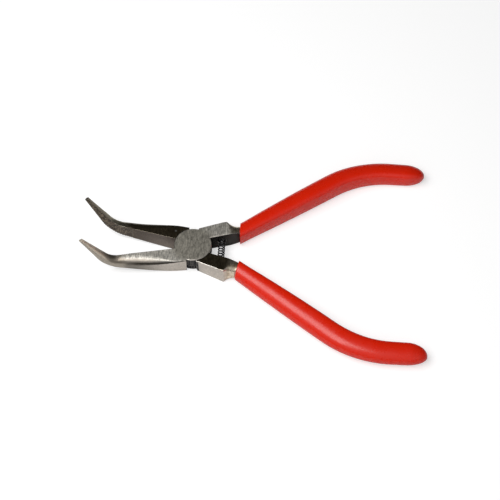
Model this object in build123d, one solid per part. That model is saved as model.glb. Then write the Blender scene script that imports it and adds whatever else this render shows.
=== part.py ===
from build123d import *
import math
import os

# Bent needle nose pliers: two forged halves crossing in a lap joint, turned on one flush rivet, pushed
# open by a small coil spring between the shanks, with a dipped plastic grip on each handle.
#
# Frame, in millimetres: the origin is where the rivet's axis meets the underside of the joint.
# +X runs to the handles, the jaws point to -X, +Y is the side of the upper half's handle, and the
# noses bend up towards +Z. The pliers are drawn half open, as the spring leaves them.
#
# Each half is first drawn as the upper half lies when the pliers are closed: its handle on the +Y side
# and its jaw on the -Y side of the rivet. The lower half is the mirror image, with its boss below.

# ---- joint
joint_thickness = 8.2        # over both bosses, and of the shanks and the jaw roots
upper_boss_radius = 7.5
lower_boss_radius = 6.9
turning_gap = 0.06           # radial, between a boss and the other half's recess
face_gap = 0.04              # between the two bosses' flat faces
boss_rim = 0.25              # chamfer round the upper boss
underside_rim = 0.9          # chamfer round the lower boss
half_opening = 12.5          # each half stands this many degrees from closed

# ---- rivet
rivet_radius = 2.3
rivet_running_gap = 0.03     # radial, in the lower half only; the upper half holds it tight
rivet_head_radius = 3.6
rivet_head_depth = 1.3
rivet_top_radius = 3.0
rivet_top_depth = 0.7

# ---- jaws
shoulder_x = -3.65           # where the jaw's back corner stops, beside the boss
root_gap = 0.95              # from the closing plane to the jaw's inner face at the rivet
nose_reach = 43.0            # rivet to tip, along the closed pliers
bend_start = 28.3            # rivet to where the nose begins to turn up
bend_radius = 8.9
bend_angle = 60.5
tooth_pitch = 0.8
tooth_depth = 0.20
tooth_first = 25.5           # distance along the jaw of the tooth nearest the joint
tooth_mouth = 0.92           # share of the pitch that each groove takes at the surface

# Jaw sections, at these distances along the jaw from the rivet
jaw_stations = (2.5, 8.5, 15.5, 22.0, 28.3, 34.0, 40.0, 46.0, 52.0)
jaw_middles = (4.10, 4.10, 4.45, 4.85, 5.20)             # height above the underside, up to the bend
jaw_heights = (8.20, 8.20, 7.60, 6.90, 6.30, 5.00, 3.75, 2.60, 1.50)
jaw_widths = (6.45, 6.30, 5.55, 4.45, 3.55, 2.90, 2.35, 1.80, 1.25)
jaw_draft = (0.70, 0.90, 0.75, 0.40, 0.35, 0.40, 0.35, 0.30, 0.20)   # outer side sloping in downwards
top_roll_across = (0.20, 0.60, 2.70, 3.20, 2.80, 2.45, 2.05, 1.60, 1.05)
top_roll_down = (0.20, 0.80, 2.20, 2.80, 2.80, 2.10, 1.55, 1.10, 0.60)
low_roll_across = (0.30, 0.40, 0.80, 1.40, 2.00, 2.20, 1.80, 1.35, 0.95)
low_roll_up = (0.30, 0.40, 0.80, 1.50, 2.40, 2.60, 2.00, 1.40, 0.80)
jaw_sections = 26

# ---- shanks
notch_corner = (3.56, 7.30)
shank_peak = (15.0, 8.80)
shank_inner_front = (5.2, 1.90)
shank_inner_back = (15.0, 2.46)
plate_end = 12.9             # the shank is a plain plate up to here, then its outer edges roll over
notch_wall_foot = (2.56, 5.26)   # inner end of the notch wall, inside the boss
notch_undercut = 0.8         # the underside's corner stands this far in from the notch corner
shank_edge = 0.2             # eased edges of the shank
# Sections from the plate's end through the peak and the neck to the handle: inner face's foot (x, y), turn,
# width, inner face's height, how far the outer side rolls across and down at the top, and across and up below
peak_section = ((15.0, 2.46), 0.0, 6.34, 8.2, (1.10, 0.80), (0.50, 0.40))
neck_sections = [
    ((16.7, 2.61), 6.0, 5.20, 7.9, (2.70, 1.60), (2.20, 1.10)),
    ((18.5, 2.79), 14.0, 4.60, 7.1, (3.40, 2.20), (2.90, 1.50)),
    ((20.8, 3.15), 22.9, 4.35, 6.4, (3.90, 2.80), (3.20, 1.80)),
]

# ---- handles and grips
handle_start = (20.0, 4.88)
handle_angle = 22.9          # the handle's first stretch stands this far from the closed centreline
handle_straight = 44.2
handle_bend_radius = 41.0
handle_bend = 35.9           # turned back towards the centreline
tang_end_straight = 7.8
tang_width = 4.10
tang_height = 5.4
tang_corner = 1.80
grip_end_straight = 13.9
# Grip sections, at these distances along the handle from its start
grip_stations = (-4.0, 3.0, 14.0, 30.0, 46.0, 62.0, 74.0, 80.0)
grip_widths = (6.80, 7.05, 7.90, 8.80, 9.10, 8.80, 8.70, 8.55)
grip_heights = (7.40, 7.60, 8.20, 8.60, 8.60, 8.00, 7.50, 7.40)
grip_lifts = (0.0, 0.10, 0.25, 0.40, 0.40, 0.0, -0.30, -0.35)   # of the section's middle
grip_sections = 30
grip_end_rounding = 8.0
grip_end_sections = 9
grip_end_lean = 80           # degrees round the end's oval before its small flat tip
grip_end_droop = (0.3, -0.9)     # outwards and downwards, of the tip from the handle's middle line
grip_crown = -0.30           # places of the section's points, as shares of its half width and height
grip_outer_side_pull = 0.60
grip_outer_top_pull = 0.45
grip_inner_side = -0.90
grip_inner_flat = 0.45
grip_inner_corner = (0.98, 1.0)
grip_inner_bulge = 1.10
grip_mouth_x = 19.7          # the dip line, across the handle
upper_mouth_tilt = -10.0     # degrees the upper grip's dip line leans back at its outer side
lower_mouth_tilt = 0.0

# ---- spring
spring_x = 11.2
spring_wire = 0.50
spring_radius = 1.20         # to the middle of the wire
spring_pitch = 1.15
seat_radius = 1.6
seat_depth = 1.6
seat_face_y = 4.82           # the shank's inner face beside the spring, pliers half open
spring_end_gap = 0.05        # between the spring's ends and the floors of its seats

middle_height = joint_thickness / 2
beyond = 40                  # size of the blocks that cut whole ends away
on_bottom = (Align.CENTER, Align.CENTER, Align.MIN)
opening = Rot(0, 0, half_opening)


def smooth(distance, stations, values):
    """Value at this distance on one smooth curve through the values at the stations."""
    count = min(len(stations), len(values))
    spans = [i for i in range(count - 1) if distance >= stations[i]]
    i = spans[-1] if spans else 0

    def slope(k):
        low = max(k - 1, 0)
        high = min(k + 1, count - 1)
        return (values[high] - values[low]) / (stations[high] - stations[low])

    span = stations[i + 1] - stations[i]
    t = min(max((distance - stations[i]) / span, 0), 1)
    bent = (2 * t**3 - 3 * t**2 + 1) * values[i] + (3 * t**2 - 2 * t**3) * values[i + 1]
    return bent + span * ((t**3 - 2 * t**2 + t) * slope(i) + (t**3 - t**2) * slope(i + 1))


def jaw_plane(distance):
    """Section plane across the jaw: local x points outwards from the inner face, local y upwards."""
    bend_length = bend_radius * math.radians(bend_angle)
    turn = min(max(distance - bend_start, 0), bend_length) / bend_radius
    past_bend = max(distance - bend_start - bend_length, 0)
    reach = min(distance, bend_start) + bend_radius * math.sin(turn) + past_bend * math.cos(turn)
    rise = bend_radius * (1 - math.cos(turn)) + past_bend * math.sin(turn)
    middle = smooth(min(distance, bend_start), jaw_stations, jaw_middles)
    nose_way = (-math.cos(turn), 0, math.sin(turn))
    return Plane(origin=(-reach, 0, middle + rise), x_dir=(0, -1, 0), z_dir=nose_way)


def rolled_face(height, width, low_width, top_roll, low_roll):
    """Flat inner side at x = 0, flat top and bottom, each rolled over into the outer side."""
    top = height / 2
    roll_top = (width - top_roll[0], top)
    roll_side = (width, top - top_roll[1])
    low_side = (low_width, low_roll[1] - top)
    low_edge = (low_width - low_roll[0], -top)
    return make_face([
        Line((0, -top), (0, top)),
        Line((0, top), roll_top),
        Bezier(roll_top, (width, top), roll_side),
        Line(roll_side, low_side),
        Bezier(low_side, (low_width, -top), low_edge),
        Line(low_edge, (0, -top)),
    ])


def jaw_section(distance):
    """Square at the joint, rolling over towards half round at the tip."""
    def size(values):
        return smooth(distance, jaw_stations, values)

    width = size(jaw_widths)
    top_roll = (size(top_roll_across), size(top_roll_down))
    low_roll = (size(low_roll_across), size(low_roll_up))
    return jaw_plane(distance) * rolled_face(size(jaw_heights), width, width - size(jaw_draft),
                                             top_roll, low_roll)


def jaw_teeth():
    """Fine grooves straight across the inner face, from before the bend to the tip."""
    count = int((jaw_stations[-1] - tooth_first) / tooth_pitch)
    overshoot = 0.4
    half_mouth = tooth_mouth / 2 * tooth_pitch * (1 + overshoot / tooth_depth)
    wedge = make_face(Polyline((-overshoot, -half_mouth), (tooth_depth, 0), (-overshoot, half_mouth),
                               close=True))
    grooves = []
    for i in range(count):
        section = jaw_plane(tooth_first + (i + 0.5) * tooth_pitch)
        along = Plane(origin=section.origin, x_dir=section.x_dir, z_dir=section.y_dir)
        grooves.append(extrude(along * wedge, joint_thickness / 2, both=True))
    return grooves


def jaw():
    """The bent jaw, with its inner face at the closing plane, set back at the rivet by the root gap."""
    first, last = jaw_stations[0], jaw_stations[-1]
    step = (last - first) / (jaw_sections - 1)
    solid = loft([jaw_section(first + i * step) for i in range(jaw_sections)])
    solid -= jaw_teeth()
    closing_taper = math.degrees(math.atan(root_gap / nose_reach))
    return Pos(0, -root_gap, 0) * Rot(0, 0, -closing_taper) * solid


def shank():
    """The full thickness plate between the boss and the neck, its outer side undercut at the notch."""
    low_corner = (notch_corner[0], notch_corner[1] - notch_undercut)
    inner = [shank_inner_back, shank_inner_front]
    top = make_face(Polyline(notch_wall_foot, notch_corner, shank_peak, *inner, close=True))
    bottom = make_face(Polyline(notch_wall_foot, low_corner, shank_peak, *inner, close=True))
    plate = loft([bottom, Pos(0, 0, joint_thickness) * top], ruled=True)
    rims = plate.faces().sort_by(Axis.Z)
    edges = (rims[0].edges() + rims[-1].edges()).filter_by(lambda e: e.length > shank_peak[0] / 2)
    past_plate = Pos(plate_end, 0, 0) * Box(beyond, beyond, beyond,
                                            align=(Align.MIN, Align.CENTER, Align.CENTER))
    return chamfer(edges, shank_edge) - past_plate


def rolled_section(foot, turn, width, height, top_roll, low_roll, undercut=0):
    way = Vector(1, 0, 0).rotate(Axis.Z, turn)
    plane = Plane(origin=(*foot, middle_height), x_dir=way.rotate(Axis.Z, 90), z_dir=way)
    return plane * rolled_face(height, width, width - undercut, top_roll, low_roll)


def neck():
    """Flat on the inner side; its outer side rolls over up to the shank's peak, then scoops in."""
    left = (shank_peak[0] - plate_end) / (shank_peak[0] - notch_corner[0])
    outer = shank_peak[1] - left * (shank_peak[1] - notch_corner[1])
    inner_left = (shank_peak[0] - plate_end) / (shank_inner_back[0] - shank_inner_front[0])
    inner = shank_inner_back[1] - inner_left * (shank_inner_back[1] - shank_inner_front[1])
    eased = (shank_edge, shank_edge)
    square = rolled_section((plate_end, inner), 0.0, outer - inner, joint_thickness, eased, eased,
                            left * notch_undercut)
    peak = rolled_section(*peak_section)
    return loft([square, peak], ruled=True) + loft([peak] + [rolled_section(*row) for row in neck_sections])


def handle_path(end_straight):
    """The handle's middle line: straight, then one bend back towards the other handle, then straight."""
    start = Vector(*handle_start, middle_height)
    first = Line(start, start + Vector(handle_straight, 0).rotate(Axis.Z, handle_angle))
    bend = JernArc(first @ 1, first % 1, handle_bend_radius, -handle_bend)
    last = Line(bend @ 1, bend @ 1 + (bend % 1) * end_straight)
    return Wire([first.edge(), bend.edge(), last.edge()])


def handle_plane(path, distance):
    """Section plane across the handle, this far along it: local x points outwards, local y upwards."""
    way = (path % max(distance / path.length, 0)).normalized()
    point = path @ max(distance / path.length, 0) + way * min(distance, 0)
    return Plane(origin=point, x_dir=way.rotate(Axis.Z, 90), z_dir=way)


def tang():
    path = handle_path(tang_end_straight)
    return sweep(handle_plane(path, 0) * RectangleRounded(tang_width, tang_height, tang_corner), path=path)


def disc(radius, bottom, top):
    return Pos(0, 0, bottom) * Cylinder(radius, top - bottom, align=on_bottom)


def boss(radius, bottom, top, rim, outer_face):
    """One half's share of the joint, with a chamfer round its outer face."""
    rims = disc(radius, bottom, top).edges().filter_by(GeomType.CIRCLE).sort_by(Axis.Z)
    return chamfer(rims[outer_face], rim)


def spring_seat():
    """A blind hole for the spring's end, square to the spring when the pliers stand half open."""
    floor_y = seat_face_y + seat_depth
    hole = Pos(spring_x, floor_y, middle_height) * Rot(90, 0, 0) * Cylinder(seat_radius, floor_y,
                                                                          align=on_bottom)
    return opening.inverse() * hole


def half(own_boss, recess):
    """One forging, closed: jaw at -Y, handle at +Y, its boss, and the recess for the other boss."""
    behind_shoulder = Pos(shoulder_x, 0, 0) * Box(beyond, beyond, beyond,
                                                  align=(Align.MIN, Align.CENTER, Align.CENTER))
    body = jaw() - behind_shoulder + shank() + neck() + tang()
    return body - recess + own_boss - spring_seat()


def rivet_shank(gap):
    return disc(rivet_radius + gap, 0, joint_thickness)


def rivet_head(gap):
    return Cone(rivet_head_radius + gap, rivet_radius + gap, rivet_head_depth + gap, align=on_bottom)


def rivet():
    """Headed below, and spread above into the upper half's countersink, then ground flush."""
    spread = Pos(0, 0, joint_thickness - rivet_top_depth) * Cone(
        rivet_radius, rivet_top_radius, rivet_top_depth, align=on_bottom)
    return rivet_shank(0) + rivet_head(0) + spread


def upper_half():
    parting = middle_height + face_gap / 2
    own_boss = boss(upper_boss_radius, parting, joint_thickness, boss_rim, -1)
    recess = disc(lower_boss_radius + turning_gap, -joint_thickness, parting)
    return opening * (half(own_boss, recess) - rivet())


def lower_half():
    parting = middle_height - face_gap / 2
    own_boss = boss(lower_boss_radius, 0, parting, underside_rim, 0)
    recess = disc(upper_boss_radius + turning_gap, parting, 2 * joint_thickness)
    solid = half(own_boss, recess) - rivet_shank(rivet_running_gap) - rivet_head(rivet_running_gap)
    return mirror(opening * solid, Plane.XZ)


def grip_section(path, distance, shrink=1.0):
    """Rounded on the outer side, with a flatter inner side that meets the top in a soft ridge."""
    outer = shrink * smooth(distance, grip_stations, grip_widths) / 2
    top = shrink * smooth(distance, grip_stations, grip_heights) / 2
    crown = grip_crown * outer
    inner = grip_inner_side * outer
    flat = grip_inner_flat * top
    corner = (grip_inner_corner[0] * inner, grip_inner_corner[1] * top)
    side_pull = (outer, grip_outer_side_pull * top)
    top_pull = (grip_outer_top_pull * outer, top)

    def below(point):
        return (point[0], -point[1])

    lift = smooth(distance, grip_stations, grip_lifts)
    middle = Pos(grip_end_droop[0] * (1 - shrink), lift + grip_end_droop[1] * (1 - shrink))
    return handle_plane(path, distance) * middle * make_face([
        Bezier((outer, 0), side_pull, top_pull, (crown, top)),
        Bezier((crown, top), corner, (inner, flat)),
        Bezier((inner, flat), (grip_inner_bulge * inner, 0), (inner, -flat)),
        Bezier((inner, -flat), below(corner), (crown, -top)),
        Bezier((crown, -top), below(top_pull), below(side_pull), (outer, 0)),
    ])


def grip(mouth_tilt):
    """Dipped sleeve over the handle, closed frame, with a straight mouth and a rounded blind end."""
    path = handle_path(grip_end_straight)
    first, last = grip_stations[0], path.length - grip_end_rounding
    step = (last - first) / (grip_sections - 1)
    sleeve = loft([grip_section(path, first + i * step) for i in range(grip_sections)])
    end_faces = []
    for i in range(grip_end_sections):
        lean = math.radians(grip_end_lean * i / (grip_end_sections - 1))
        end_faces.append(grip_section(path, last + grip_end_rounding * math.sin(lean), math.cos(lean)))
    before_mouth = Pos(grip_mouth_x, handle_start[1], middle_height) * Rot(0, 0, mouth_tilt) * Box(
        beyond, beyond, beyond, align=(Align.MAX, Align.CENTER, Align.CENTER))
    return sleeve + loft(end_faces) - before_mouth


def spring():
    """Open coil from one blind seat to the other, straight along Y when the pliers stand half open."""
    length = 2 * (seat_face_y + seat_depth - spring_end_gap) - spring_wire
    start = (spring_x, -length / 2, middle_height)
    coil = Helix(spring_pitch, length, spring_radius, center=start, direction=(0, 1, 0))
    wire_section = Plane(origin=coil @ 0, z_dir=coil % 0) * Circle(spring_wire / 2)
    return sweep(wire_section, path=coil, is_frenet=True)


def write(name, solid):
    export_step(solid, f"parts/{name}.step")


os.makedirs("parts", exist_ok=True)
upper = upper_half()
lower = lower_half()
write("upper_half", upper)
write("lower_half", lower)
write("rivet", rivet())
write("return_spring", spring())
write("upper_grip", opening * grip(upper_mouth_tilt) - upper)
write("lower_grip", mirror(opening * grip(lower_mouth_tilt), Plane.XZ) - lower)
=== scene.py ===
import math
from types import SimpleNamespace

import bmesh
import bpy
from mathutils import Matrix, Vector
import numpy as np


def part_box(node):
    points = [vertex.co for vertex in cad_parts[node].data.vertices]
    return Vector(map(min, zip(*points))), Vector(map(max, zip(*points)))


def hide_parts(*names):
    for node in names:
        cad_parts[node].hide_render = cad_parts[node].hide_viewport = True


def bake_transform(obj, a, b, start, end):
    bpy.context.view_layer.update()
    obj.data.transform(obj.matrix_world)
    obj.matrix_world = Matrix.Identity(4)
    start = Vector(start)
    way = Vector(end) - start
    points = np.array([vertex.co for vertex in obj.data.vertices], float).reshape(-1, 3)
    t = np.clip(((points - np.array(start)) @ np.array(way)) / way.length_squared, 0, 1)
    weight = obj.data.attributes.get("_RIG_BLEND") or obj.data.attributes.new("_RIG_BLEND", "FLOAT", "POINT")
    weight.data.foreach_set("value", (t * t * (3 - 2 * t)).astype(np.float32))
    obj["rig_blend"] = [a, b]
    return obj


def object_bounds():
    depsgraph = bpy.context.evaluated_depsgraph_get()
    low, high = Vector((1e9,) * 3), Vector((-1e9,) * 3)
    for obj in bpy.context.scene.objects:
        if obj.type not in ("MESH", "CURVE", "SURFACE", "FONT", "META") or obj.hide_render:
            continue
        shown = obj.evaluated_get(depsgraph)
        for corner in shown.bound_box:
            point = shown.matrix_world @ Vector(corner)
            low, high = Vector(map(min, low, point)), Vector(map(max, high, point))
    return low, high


# Looks for the bent needle nose pliers. Everything is in metres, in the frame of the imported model:
# the rivet's axis is Z, the joint's underside is at Z = 0, the jaws point to -X and the noses bend up.

MM = 0.001

# ---- the object
HALF_OPENING = math.radians(12.5)   # each half stands this far from closed
UPPER, LOWER = 1, -1                # side of the closing plane that the half's handle is on
SPRING_WIRE = 0.50 * MM
SPRING_PITCH = 1.17 * MM
SPRING_CLOSED_PITCH = 0.56 * MM
SPRING_CLOSED_TURNS = 1.25          # at each end, down in the seats
SPRING_SEAT_FACE = 4.82 * MM        # from the spring's middle to the mouth of each seat
SPRING_RINGS_PER_TURN = 30
SPRING_SIDES = 10

# ---- where a half's looks change: none of the look at the first number and all of it at the second
# Along the closed pliers from the rivet, with the jaws at -X
JAW = (-3.2 * MM, -3.7 * MM)
FAR_JAW = (-10.0 * MM, -24.0 * MM)
NOSE = (-21.0 * MM, -31.0 * MM)
BEND = (-26.0 * MM, -29.5 * MM)
TIP = (-32.0 * MM, -37.0 * MM)
SHANK = (3.4 * MM, 3.9 * MM)
NECK = (14.6 * MM, 17.2 * MM)
NOTCH_FRONT = (1.6 * MM, 2.2 * MM)
NOTCH_BACK = (4.6 * MM, 4.2 * MM)
# Out from the rivet's axis
DISC = (10.5 * MM, 6.5 * MM)
BOSS_WALL = (7.75 * MM, 7.60 * MM)
CLEAR_OF_BORE = (3.7 * MM, 3.9 * MM)
# By the upward share of the surface's normal
UPRIGHT = (0.5, 0.3)
NOSE_TOP = (0.15, 0.5)
FLAT_TOP = (0.80, 0.97)
ROLLED_FROM = (0.30, 0.45)
ROLLED_TO = (0.995, 0.90)
CREASE_FROM = (0.08, 0.22)
CREASE_TO = (0.62, 0.44)
# By its share towards the handle's side of the pliers
JAW_INSIDE = (0.45, 0.65)
SHANK_INSIDE = (-0.70, -0.84)
# By the cosine of the angle between the eased and the true normal
EDGE_WEAR_AND_GLINT_TURN = (0.995, 0.93)
# By the value of a pattern
PITS = (0.42, 0.62)
TARNISH_SPOTS = (0.35, 0.65)
STRIPES = (0.45, 0.68)
WIRE_WEAR = (0.45, 0.7)
SMUDGES = (0.35, 0.75)

# ---- colours of steel; a pair is the first and second colour of a pattern, or runs along the jaw
GROUND_SIDE = ((0.60, 0.55, 0.49), (0.51, 0.46, 0.41))
# the outer sides go darker towards the nose
FAR_JAW_DARKENING = (0.10, 0.085, 0.065)
FAR_JAW_DARKENING_SHARE = 0.75
# painted shade: the dark line just under the jaw's rolled edge
CREASE_SHADE_COLOUR = (0.035, 0.030, 0.025)
CREASE_SHARE = 0.95
NOSE_SHARE = 0.9
SMOOTH_INSIDE = ((0.24, 0.20, 0.17), (0.115, 0.092, 0.074))
PITTED_INSIDE = ((0.015, 0.011, 0.008), (0.27, 0.215, 0.155))
NECK_TARNISH = ((0.88, 0.78, 0.61), (0.42, 0.33, 0.21))
TARNISH_SHARE = 0.85
SHANK_SCALE = (0.046, 0.042, 0.038)
STRIPED_WALL = ((0.020, 0.020, 0.022), (0.13, 0.12, 0.11))
# edges worn bright, with a painted glint along them
EDGE_WEAR_AND_GLINT = (0.75, 0.72, 0.66)
EDGE_WEAR_AND_GLINT_SHARES = (0.95, 0.15)        # off the jaw and on it
EASED_EDGES = (0.15 * MM, 0.30 * MM)    # radius off the shank and on it
SCRATCH_CONTRAST = (0.7, 2.6)       # off the flat ground top and on it
SPECKLE_CONTRAST = 0.4              # as a share of the scratches'
FINE_SCRATCH_CONTRAST = 0.5
# a small bright dot of colour at a given place
BRIGHT_SPOT_COLOUR = (0.85, 0.83, 0.78)
BRIGHT_SPOT_FADE = (0.50 * MM, 0.30 * MM)

BEVEL_SAMPLES = 6

# ---- roughness of steel
SIDE_ROUGHNESS = 0.36
JAW_INSIDE_ROUGHNESS = 0.40
NECK_ROUGHNESS = 0.26
NECK_ROUGHNESS_SHARE = 0.7
SCALE_ROUGHNESS = 0.5
RUBBED_ROUGHNESS = 0.32
STAIN_ROUGHNESS = 0.30              # swing from the least stained place to the most

# ---- other materials
WIRE_COLOURS = ((0.025, 0.025, 0.028), (0.28, 0.28, 0.29))
WIRE_ROUGHNESS = (0.25, 0.5)
VINYL_REDS = ((0.76, 0.016, 0.0), (0.70, 0.013, 0.0))
VINYL_ROUGHNESS = (0.24, 0.35)
VINYL_EASED_EDGE = 0.30 * MM
PAPER_ROUGHNESS = 0.9
WHITE = (1.0, 1.0, 1.0)

# ---- view and light
VIEW_ELEVATION = math.radians(57.0)
VIEW_AZIMUTH = math.radians(3.3)
VIEW_CENTRE = Vector((22.7, -0.9, 7.4)) * MM
VIEW_DISTANCE = 516.5 * MM
LENS = 94.05                        # for the sensor's width, both in millimetres
SENSOR_WIDTH = 36.0
NEAREST_SEEN = 0.01
FLOOR_HALF_SIZE = 1.5
FLOOR_WHITENESS, FLOOR_GLOW = 0.62, 0.53
BOUNCE_WHITENESS = 0.80
BOUNCE_DROP = 0.02 * MM             # of the sheet that lights the pliers under the one that is seen
SKY_FAR_TO_NEAR = (0.45, -0.65)     # the sky's Y where its light goes from the first level to the second
SKY_LEVELS = (0.05, 0.55)
SKY_HORIZON = (0.02, 0.38)          # the sky's Z where it rises to its full light
SKY_HORIZON_SHARE = 0.10
KEY_DIRECTION = (-0.40, -0.22, 0.90)
KEY_DISTANCE = 0.46
KEY_WIDTH, KEY_HEIGHT = 0.46, 0.27
KEY_RADIANCE = 4.6


# ------------------------------------------------------------------ node helpers
class Nodes:
    """Short calls for one material's nodes. A value is a number, a tuple or another node's output."""

    def __init__(self, tree):
        self.tree = tree

    def put(self, value, socket):
        if isinstance(value, bpy.types.NodeSocket):
            self.tree.links.new(value, socket)
        elif isinstance(value, tuple) and socket.type == "RGBA":
            socket.default_value = (*value, 1.0)
        else:
            socket.default_value = value

    def add(self, kind, inputs, output=0, **settings):
        node = self.tree.nodes.new(kind)
        for name, value in settings.items():
            setattr(node, name, value)
        for name, value in inputs.items():
            self.put(value, node.inputs[name])
        return node.outputs[output]

    def math(self, operation, a, b=0.0, c=0.0, clamp=False):
        return self.add("ShaderNodeMath", {0: a, 1: b, 2: c}, operation=operation, use_clamp=clamp)

    def both(self, a, b):
        return self.math("MULTIPLY", a, b)

    def step(self, value, low, high):
        """0 below low and 1 above high, smooth between; the other way round if low is above high."""
        flip = low > high
        return self.add("ShaderNodeMapRange", {
            "Value": value, "From Min": min(low, high), "From Max": max(low, high),
            "To Min": float(flip), "To Max": float(not flip)}, interpolation_type="SMOOTHSTEP")

    def mix(self, share, a, b):
        return self.add("ShaderNodeMix", {0: share, 6: a, 7: b}, 2, data_type="RGBA")

    def blend(self, share, a, b):
        return self.add("ShaderNodeMix", {0: share, 2: a, 3: b}, 0, data_type="FLOAT")

    def split(self, vector):
        node = self.tree.nodes.new("ShaderNodeSeparateXYZ")
        self.put(vector, node.inputs[0])
        return node.outputs

    def stretch(self, vector, scale):
        return self.add("ShaderNodeVectorMath", {0: vector, 1: scale}, operation="MULTIPLY")

    def around(self, pattern, strength):
        """A factor that is 1 at the pattern's middle and swings by this much over its whole range."""
        return self.math("MULTIPLY_ADD", self.math("SUBTRACT", pattern, 0.5), strength, 1.0)

    def noise(self, vector, scale, detail, roughness):
        return self.add("ShaderNodeTexNoise", {"Vector": vector, "Scale": scale, "Detail": detail,
                                               "Roughness": roughness})

    def bump(self, height, strength, distance, normal=None):
        """A normal with this relief, on top of another normal if there is one."""
        inputs = {"Height": height, "Strength": strength, "Distance": distance}
        if normal is not None:
            inputs["Normal"] = normal
        return self.add("ShaderNodeBump", inputs)


def new_material(name):
    material = bpy.data.materials.new(name)
    material.use_nodes = True
    material.node_tree.nodes.clear()
    return material, Nodes(material.node_tree)


def finish_material(nodes, **inputs):
    """One Principled surface with these inputs."""
    shader = nodes.tree.nodes.new("ShaderNodeBsdfPrincipled")
    for name, value in inputs.items():
        nodes.put(value, shader.inputs[name.replace("_", " ")])
    output = nodes.tree.nodes.new("ShaderNodeOutputMaterial")
    nodes.tree.links.new(shader.outputs[0], output.inputs[0])


# ------------------------------------------------------------------ materials
def steel_regions(n, side, place, facing):
    """How much each point belongs to each region of a half, found on the closed pliers."""
    def closed(vector):
        return n.add("ShaderNodeVectorRotate", {"Vector": vector, "Angle": -side * HALF_OPENING},
                     rotation_type="Z_AXIS")

    x, y, _ = n.split(closed(place))
    _, face_out, face_up = n.split(closed(facing))
    inward = n.both(face_out, float(side))             # towards the handle's side of the pliers
    from_rivet = n.math("SQRT", n.math("ADD", n.both(x, x), n.both(y, y)))
    on_jaw = n.step(x, *JAW)
    on_shank = n.step(x, *SHANK)
    nose = n.step(x, *NOSE)
    sloping_edge = n.both(n.step(face_up, *ROLLED_FROM), n.step(face_up, *ROLLED_TO))
    under_edge_shade = n.both(n.step(face_up, *CREASE_FROM), n.step(face_up, *CREASE_TO))
    upright = n.step(n.math("ABSOLUTE", face_up), *UPRIGHT)
    boss_wall = n.both(n.step(from_rivet, *BOSS_WALL), upright)
    notch_wall = n.both(n.both(n.step(x, *NOTCH_BACK), n.step(x, *NOTCH_FRONT)), upright)
    return SimpleNamespace(
        on_jaw=on_jaw, on_shank=on_shank, nose=nose,
        far_jaw=n.step(x, *FAR_JAW), bend=n.step(x, *BEND), tip=n.step(x, *TIP), neck=n.step(x, *NECK),
        disc=n.step(from_rivet, *DISC), clear_of_bore=n.step(from_rivet, *CLEAR_OF_BORE),
        flat_top=n.step(face_up, *FLAT_TOP), nose_top=n.step(face_up, *NOSE_TOP),
        rolled=n.both(sloping_edge, on_jaw),
        crease_shade=n.both(under_edge_shade, n.both(on_jaw, n.math("SUBTRACT", 1.0, nose))),
        jaw_inside=n.both(on_jaw, n.step(inward, *JAW_INSIDE)),
        shank_inside=n.both(on_shank, n.step(inward, *SHANK_INSIDE)),
        wall=n.math("MAXIMUM", boss_wall, notch_wall))


def steel_patterns(n, place):
    """Scratches across the length for the ground faces, upright ones for the walls, stains and pits."""
    return SimpleNamespace(
        across=n.noise(n.stretch(place, (1900.0, 520.0, 900.0)), 1.0, 4.0, 0.65),
        fine_across=n.noise(n.stretch(place, (7000.0, 500.0, 900.0)), 1.0, 3.0, 0.6),
        upright_lines=n.noise(n.stretch(place, (2300.0, 2300.0, 60.0)), 1.0, 3.0, 0.6),
        blotches=n.noise(place, 420.0, 5.0, 0.68),
        clouds=n.noise(place, 130.0, 3.0, 0.5),
        speckle=n.noise(place, 1500.0, 4.0, 0.75))


def steel_colour(n, at, pattern, top, roll, bend_top, tip_top, nose_side):
    """The regions' colours over one another, then shaded by the scratches."""
    colour = n.mix(pattern.clouds, *GROUND_SIDE)
    # The outer sides go darker towards the nose
    colour = n.mix(n.both(at.far_jaw, FAR_JAW_DARKENING_SHARE), colour, FAR_JAW_DARKENING)
    colour = n.mix(at.flat_top, colour, n.mix(at.disc, top[1], top[0]))
    # Painted shade and light: the rolled edge is dark at the jaw's root and lighter towards the bend, so that
    # its highlight fades towards the joint
    colour = n.mix(at.rolled, colour, n.mix(at.far_jaw, *roll))
    # Painted shade: a dark line just under the rolled edge, along the jaw short of the nose
    colour = n.mix(n.both(at.crease_shade, CREASE_SHARE), colour, CREASE_SHADE_COLOUR)
    # Painted light and shade: the bend's top gets its own colour, which sets where the rolled edge's
    # highlight ends
    nose_colour = n.mix(at.nose_top, nose_side, n.mix(at.tip, bend_top, tip_top))
    colour = n.mix(n.both(at.bend, NOSE_SHARE), colour, nose_colour)
    smooth_inside = n.mix(at.far_jaw, *SMOOTH_INSIDE)
    pitted_inside = n.mix(n.step(pattern.speckle, *PITS), *PITTED_INSIDE)
    colour = n.mix(at.jaw_inside, colour, n.mix(at.nose, smooth_inside, pitted_inside))
    tarnish = n.mix(n.step(pattern.blotches, *TARNISH_SPOTS), *NECK_TARNISH)
    colour = n.mix(n.both(at.neck, TARNISH_SHARE), colour, tarnish)
    colour = n.mix(at.shank_inside, colour, SHANK_SCALE)
    striped = n.mix(n.step(pattern.upright_lines, *STRIPES), *STRIPED_WALL)
    colour = n.mix(at.wall, colour, striped)
    ground_top = n.both(at.flat_top, n.math("SUBTRACT", 1.0, at.rolled))
    contrast = n.blend(ground_top, *SCRATCH_CONTRAST)
    shade = n.around(pattern.across, contrast)
    shade = n.both(shade, n.around(pattern.speckle, n.both(contrast, SPECKLE_CONTRAST)))
    shade = n.both(shade, n.around(pattern.fine_across, FINE_SCRATCH_CONTRAST))
    return n.add("ShaderNodeVectorMath", {0: colour, "Scale": shade}, operation="SCALE")


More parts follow.
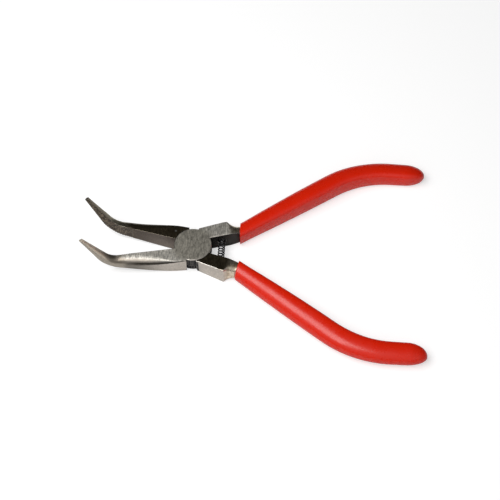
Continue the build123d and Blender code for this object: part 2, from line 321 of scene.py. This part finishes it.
def steel_roughness(n, at, pattern, edge_wear_and_glint, top_roughness, roll_roughness):
    """The regions' roughness over one another, made uneven by the stains."""
    rough = n.blend(at.flat_top, SIDE_ROUGHNESS, top_roughness)
    rough = n.blend(at.rolled, rough, roll_roughness)
    rough = n.blend(at.jaw_inside, rough, JAW_INSIDE_ROUGHNESS)
    rough = n.blend(n.both(at.neck, NECK_ROUGHNESS_SHARE), rough, NECK_ROUGHNESS)
    rough = n.blend(n.math("MAXIMUM", at.wall, at.shank_inside), rough, SCALE_ROUGHNESS)
    rough = n.blend(edge_wear_and_glint, rough, RUBBED_ROUGHNESS)
    stain = n.math("SUBTRACT", pattern.blotches, 0.5)
    return n.math("MULTIPLY_ADD", stain, STAIN_ROUGHNESS, rough, clamp=True)


def steel(name, side, top, roll, nose_colours, top_roughness, roll_roughness, bright_spot=None):
    """Forged steel, ground light on its outer sides and dark with scale inside, with eased edges worn bright
    and a painted glint along them. Its top has one colour on the joint's disc and one beyond it. The top's
    rolled outer edge has one at the jaw's root and one at the bend: painted shade and light that fade its
    highlight towards the joint, with a dark line of painted shade just under it. The nose has one on the
    bend's top, one on the tip's top and one on its side; the bend's top colour is painted light and shade
    that ends the rolled edge's highlight. A bright spot is a small bright dot of colour at that place."""
    material, n = new_material(name)
    place = n.add("ShaderNodeTexCoord", {}, "Object")
    facing = n.add("ShaderNodeTexCoord", {}, "Normal")
    at = steel_regions(n, side, place, facing)
    pattern = steel_patterns(n, place)
    colour = steel_colour(n, at, pattern, top, roll, *nose_colours)

    edge_radius = n.both(at.clear_of_bore, n.blend(at.on_shank, *EASED_EDGES))
    eased = n.add("ShaderNodeBevel", {"Radius": edge_radius}, samples=BEVEL_SAMPLES)
    true_normal = n.add("ShaderNodeNewGeometry", {}, "Normal")
    turned = n.add("ShaderNodeVectorMath", {0: eased, 1: true_normal}, "Value", operation="DOT_PRODUCT")
    # Edges worn bright, with a painted glint along them, where the eased normal turns away from the true one
    edge_wear_and_glint = n.both(n.step(turned, *EDGE_WEAR_AND_GLINT_TURN), n.blend(at.on_jaw, *EDGE_WEAR_AND_GLINT_SHARES))
    colour = n.mix(edge_wear_and_glint, colour, EDGE_WEAR_AND_GLINT)
    if bright_spot:
        distance = n.add("ShaderNodeVectorMath", {0: place, 1: bright_spot}, "Value", operation="DISTANCE")
        colour = n.mix(n.step(distance, *BRIGHT_SPOT_FADE), colour, BRIGHT_SPOT_COLOUR)

    rough = steel_roughness(n, at, pattern, edge_wear_and_glint, top_roughness, roll_roughness)
    ground_grain = n.math("ADD", pattern.across, n.both(pattern.fine_across, 0.5))
    grain = n.blend(at.wall, ground_grain, pattern.upright_lines)
    relief = n.bump(grain, 0.30, 0.02 * MM, eased)
    finish_material(n, Base_Color=colour, Metallic=1.0, Roughness=rough, Normal=relief)
    return material


def spring_wire():
    """Black oiled wire, worn a little brighter along the coils."""
    material, n = new_material("spring_wire")
    place = n.add("ShaderNodeTexCoord", {}, "Object")
    wear = n.noise(place, 900.0, 4.0, 0.6)
    colour = n.mix(n.step(wear, *WIRE_WEAR), *WIRE_COLOURS)
    relief = n.bump(wear, 0.2, 0.01 * MM)
    rough = n.blend(wear, *WIRE_ROUGHNESS)
    finish_material(n, Base_Color=colour, Metallic=1.0, Roughness=rough, Normal=relief)
    return material


def dipped_vinyl():
    """Glossy red dipped coating with a faint orange peel, slightly dulled by handling."""
    material, n = new_material("dipped_vinyl")
    place = n.add("ShaderNodeTexCoord", {}, "Object")
    clouds = n.noise(place, 70.0, 3.0, 0.5)
    peel = n.noise(place, 700.0, 2.0, 0.4)
    waves = n.noise(place, 130.0, 2.0, 0.4)
    smudges = n.noise(n.stretch(place, (160.0, 160.0, 260.0)), 1.0, 5.0, 0.7)
    colour = n.mix(clouds, *VINYL_REDS)
    rough = n.blend(n.step(smudges, *SMUDGES), *VINYL_ROUGHNESS)
    eased = n.add("ShaderNodeBevel", {"Radius": VINYL_EASED_EDGE}, samples=BEVEL_SAMPLES)
    soft = n.bump(waves, 0.35, 0.12 * MM, eased)
    relief = n.bump(peel, 0.18, 0.02 * MM, soft)
    finish_material(n, Base_Color=colour, Roughness=rough, Normal=relief, IOR=1.5,
                    Subsurface_Weight=0.06, Subsurface_Scale=0.6 * MM)
    return material


def floor_paper(name, whiteness, glow):
    """Matt white paper with a faint tooth, which may glow as on a light table."""
    material, n = new_material(name)
    place = n.add("ShaderNodeTexCoord", {}, "Object")
    tooth = n.noise(place, 900.0, 3.0, 0.6)
    relief = n.bump(tooth, 0.08, 0.05 * MM)
    finish_material(n, Base_Color=(whiteness, whiteness, whiteness), Roughness=PAPER_ROUGHNESS,
                    Emission_Color=WHITE, Emission_Strength=glow, Normal=relief)
    return material


# ------------------------------------------------------------------ pieces
def coil_spring(material):
    """Open coil with closed ends, along Y between its two seats. Its ends stay with the two halves and its
    coils close up between them as the pliers turn."""
    low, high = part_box("return_spring")
    centre = (low + high) / 2
    coil_radius = (high.x - low.x) / 2 - SPRING_WIRE / 2
    half_length = (high.y - low.y - SPRING_WIRE) / 2
    open_turns = 2 * (half_length - SPRING_CLOSED_TURNS * SPRING_CLOSED_PITCH) / SPRING_PITCH
    turns = open_turns + 2 * SPRING_CLOSED_TURNS
    rings = int(turns * SPRING_RINGS_PER_TURN)
    made = bmesh.new()
    before = []
    reach = -half_length
    for i in range(rings + 1):
        turn = turns * i / rings
        angle = 2 * math.pi * turn
        out = Vector((math.cos(angle), 0.0, math.sin(angle)))
        middle = centre + out * coil_radius + Vector((0.0, reach, 0.0))
        ring = []
        for k in range(SPRING_SIDES):
            lean = 2 * math.pi * k / SPRING_SIDES
            across = out * math.cos(lean) + Vector((0.0, math.sin(lean), 0.0))
            ring.append(made.verts.new(middle + across * SPRING_WIRE / 2))
        for k in range(SPRING_SIDES if before else 0):
            after = (k + 1) % SPRING_SIDES
            made.faces.new((before[k], before[after], ring[after], ring[k]))
        if i in (0, rings):
            made.faces.new(ring if i else ring[::-1])
        before = ring
        closed = min(turn, turns - turn) < SPRING_CLOSED_TURNS
        reach += (SPRING_CLOSED_PITCH if closed else SPRING_PITCH) * turns / rings
    bmesh.ops.recalc_face_normals(made, faces=made.faces)
    mesh = bpy.data.meshes.new("coil_spring")
    made.to_mesh(mesh)
    made.free()
    mesh.shade_smooth()
    mesh.materials.append(material)
    spring = bpy.data.objects.new("coil_spring", mesh)
    bpy.context.scene.collection.objects.link(spring)
    mouth = Vector((0.0, SPRING_SEAT_FACE, 0.0))
    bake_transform(spring, "upper", "lower", start=centre + mouth, end=centre - mouth)
    even_out_coils(spring, rings + 1)
    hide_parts("return_spring")


def even_out_coils(spring, rings):
    """Each ring of the wire moves as one, and the coils share the travel evenly between the seats."""
    shares = spring.data.attributes["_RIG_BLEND"].data
    for i in range(rings):
        own = range(i * SPRING_SIDES, (i + 1) * SPRING_SIDES)
        middle = sum(spring.data.vertices[k].co.y for k in own) / SPRING_SIDES
        share = min(max(0.5 - middle / (2 * SPRING_SEAT_FACE), 0.0), 1.0)
        for k in own:
            shares[k].value = share


# ------------------------------------------------------------------ scene
def put_material(node, material):
    """A CAD node keeps its shape and gets a better material."""
    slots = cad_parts[node].data.materials
    slots.clear()
    slots.append(material)


def floor_sheet(name, height, material):
    mesh = bpy.data.meshes.new(name)
    made = bmesh.new()
    bmesh.ops.create_grid(made, x_segments=1, y_segments=1, size=FLOOR_HALF_SIZE)
    made.to_mesh(mesh)
    made.free()
    mesh.materials.append(material)
    thing = bpy.data.objects.new(name, mesh)
    thing.location.z = height
    bpy.context.scene.collection.objects.link(thing)
    return thing


def floor(height):
    """A glowing sheet that is only seen, and just under it a duller one that lights the pliers, so that the
    background is white without washing out their undersides."""
    seen = floor_sheet("floor", height, floor_paper("floor_paper", FLOOR_WHITENESS, FLOOR_GLOW))
    seen.visible_diffuse = False
    seen.visible_glossy = False
    seen.visible_shadow = False
    bounce_paper = floor_paper("bounce_paper", BOUNCE_WHITENESS, 0.0)
    bounce = floor_sheet("floor_bounce", height - BOUNCE_DROP, bounce_paper)
    bounce.visible_camera = False


def softbox(name, direction, distance, width, height, radiance):
    """A rectangular soft light that faces the pliers. Its power follows from the radiance of its face."""
    lamp = bpy.data.lights.new(name, "AREA")
    lamp.shape = "RECTANGLE"
    lamp.size = width
    lamp.size_y = height
    lamp.energy = radiance * math.pi * width * height
    thing = bpy.data.objects.new(name, lamp)
    way = Vector(direction).normalized()
    thing.location = VIEW_CENTRE + way * distance
    thing.rotation_mode = "QUATERNION"
    thing.rotation_quaternion = way.to_track_quat("Z", "Y")
    bpy.context.scene.collection.objects.link(thing)


def studio():
    """Dim surroundings, darkest near the horizon and beyond the pliers, and one large softbox."""
    world = bpy.data.worlds.new("studio")
    world.use_nodes = True
    world.node_tree.nodes.clear()
    n = Nodes(world.node_tree)
    _, y, z = n.split(n.add("ShaderNodeTexCoord", {}, "Generated"))
    across = n.blend(n.step(y, *SKY_FAR_TO_NEAR), *SKY_LEVELS)
    level = n.both(across, n.blend(n.step(z, *SKY_HORIZON), SKY_HORIZON_SHARE, 1.0))
    light = n.add("ShaderNodeBackground", {"Color": WHITE, "Strength": level})
    output = world.node_tree.nodes.new("ShaderNodeOutputWorld")
    world.node_tree.links.new(light, output.inputs[0])
    bpy.context.scene.world = world
    softbox("key", KEY_DIRECTION, KEY_DISTANCE, KEY_WIDTH, KEY_HEIGHT, KEY_RADIANCE)


def camera():
    lens = bpy.data.cameras.new("camera")
    lens.sensor_width = SENSOR_WIDTH
    lens.lens = LENS
    lens.clip_start = NEAREST_SEEN
    thing = bpy.data.objects.new("camera", lens)
    back = Vector((math.sin(VIEW_AZIMUTH) * math.cos(VIEW_ELEVATION),
                   -math.cos(VIEW_AZIMUTH) * math.cos(VIEW_ELEVATION), math.sin(VIEW_ELEVATION)))
    thing.location = VIEW_CENTRE + back * VIEW_DISTANCE
    thing.rotation_euler = (math.pi / 2 - VIEW_ELEVATION, 0.0, VIEW_AZIMUTH)
    bpy.context.scene.collection.objects.link(thing)
    bpy.context.scene.camera = thing


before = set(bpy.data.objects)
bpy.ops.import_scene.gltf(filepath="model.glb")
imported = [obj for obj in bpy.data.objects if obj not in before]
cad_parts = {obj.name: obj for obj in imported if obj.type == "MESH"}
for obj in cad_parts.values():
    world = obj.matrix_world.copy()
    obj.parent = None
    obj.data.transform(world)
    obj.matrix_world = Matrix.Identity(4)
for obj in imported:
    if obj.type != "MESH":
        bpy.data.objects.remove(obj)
cad_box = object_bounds()

# The roll pairs run from dark at the jaw's root to lighter at the bend, and the first nose colour is the
# bend's top: painted shade and light that shape the rolled edge's highlight
ground = steel("ground_steel", UPPER, top=((0.43, 0.405, 0.345), (0.66, 0.63, 0.565)),
               roll=((0.11, 0.105, 0.095), (0.33, 0.295, 0.255)),
               nose_colours=((0.21, 0.18, 0.145), (0.90, 0.80, 0.65), (0.42, 0.37, 0.31)),
               top_roughness=0.46, roll_roughness=0.44)
polished = steel("polished_steel", LOWER, top=((0.17, 0.135, 0.085), (0.17, 0.135, 0.085)),
                 roll=((0.10, 0.085, 0.062), (0.24, 0.215, 0.17)),
                 nose_colours=((0.42, 0.39, 0.30), (0.36, 0.32, 0.25), (0.30, 0.27, 0.21)),
                 top_roughness=0.22, roll_roughness=0.40, bright_spot=(-7.3 * MM, 6.0 * MM, 8.2 * MM))
vinyl = dipped_vinyl()
put_material("upper_half", ground)
put_material("rivet", ground)
put_material("lower_half", polished)
coil_spring(spring_wire())
put_material("upper_grip", vinyl)
put_material("lower_grip", vinyl)

floor(cad_box[0].z)
studio()
camera()
bpy.context.scene.view_settings.view_transform = "Standard"
